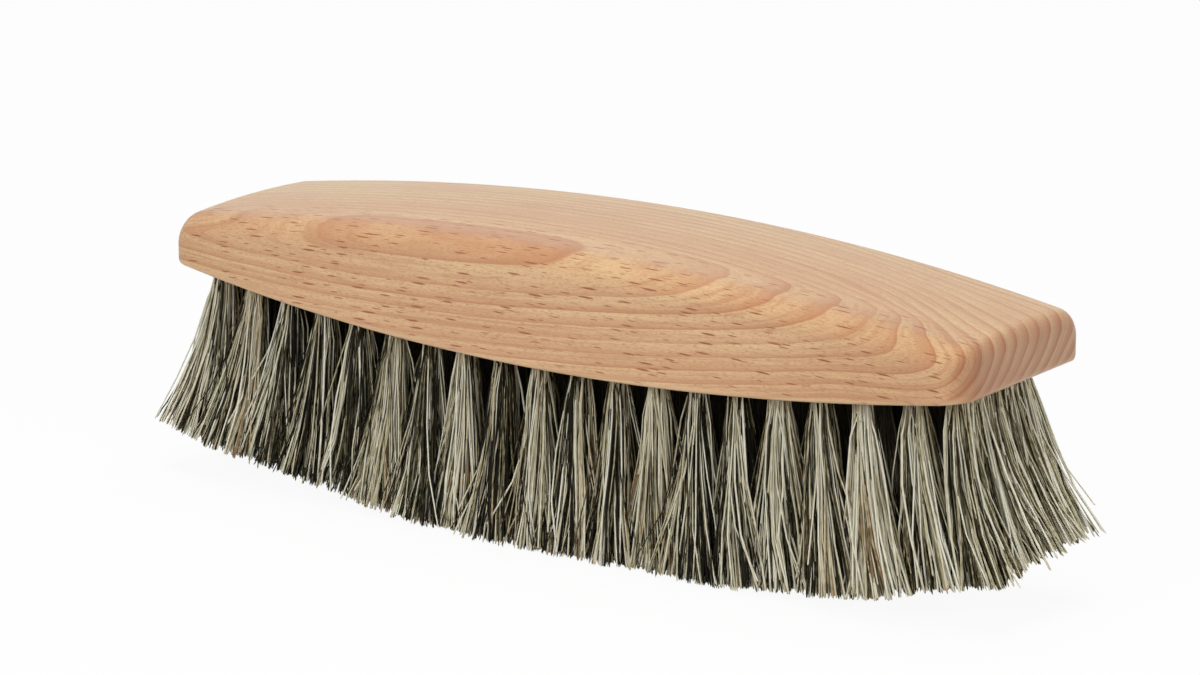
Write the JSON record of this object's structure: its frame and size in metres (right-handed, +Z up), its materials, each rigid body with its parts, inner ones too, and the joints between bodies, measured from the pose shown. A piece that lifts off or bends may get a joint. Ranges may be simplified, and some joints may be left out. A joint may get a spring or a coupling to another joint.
{
  "type": "shoe shine brush",
  "caption": "Shoe shine brush: a bowed beech block with rounded rims, set with rows of mixed grey horsehair tufts that fan out to a curved, trimmed face.",
  "frame": {"origin": "centre of the brush in plan, on the level of the middle hair tips that it stands on", "axes": "+X along the block, +Y across it, +Z up from the hair tips to the top of the block"},
  "size_m": [0.186, 0.046, 0.059],
  "materials": {
    "beech": "oiled satin",
    "horsehair": "natural mixed grey hair",
    "anchor_wire": "plain flat wire"
  },
  "bodies": {
    "root": {"wood_block": "beech", "tuft_row_01": "horsehair", "tuft_row_02": "horsehair", "tuft_row_03": "horsehair", "tuft_row_04": "horsehair", "tuft_row_05": "horsehair", "tuft_row_06": "horsehair", "tuft_row_07": "horsehair", "tuft_row_08": "horsehair", "tuft_row_09": "horsehair", "tuft_row_10": "horsehair", "tuft_row_11": "horsehair", "tuft_row_12": "horsehair", "tuft_row_13": "horsehair", "tuft_row_14": "horsehair", "tuft_row_15": "horsehair", "tuft_row_16": "horsehair", "tuft_row_17": "horsehair", "tuft_row_18": "horsehair", "tuft_row_19": "horsehair", "tuft_row_20": "horsehair", "anchor_row_01": "anchor_wire", "anchor_row_02": "anchor_wire", "anchor_row_03": "anchor_wire", "anchor_row_04": "anchor_wire", "anchor_row_05": "anchor_wire", "anchor_row_06": "anchor_wire", "anchor_row_07": "anchor_wire", "anchor_row_08": "anchor_wire", "anchor_row_09": "anchor_wire", "anchor_row_10": "anchor_wire", "anchor_row_11": "anchor_wire", "anchor_row_12": "anchor_wire", "anchor_row_13": "anchor_wire", "anchor_row_14": "anchor_wire", "anchor_row_15": "anchor_wire", "anchor_row_16": "anchor_wire", "anchor_row_17": "anchor_wire", "anchor_row_18": "anchor_wire", "anchor_row_19": "anchor_wire", "anchor_row_20": "anchor_wire"}
  },
  "joints": []
}
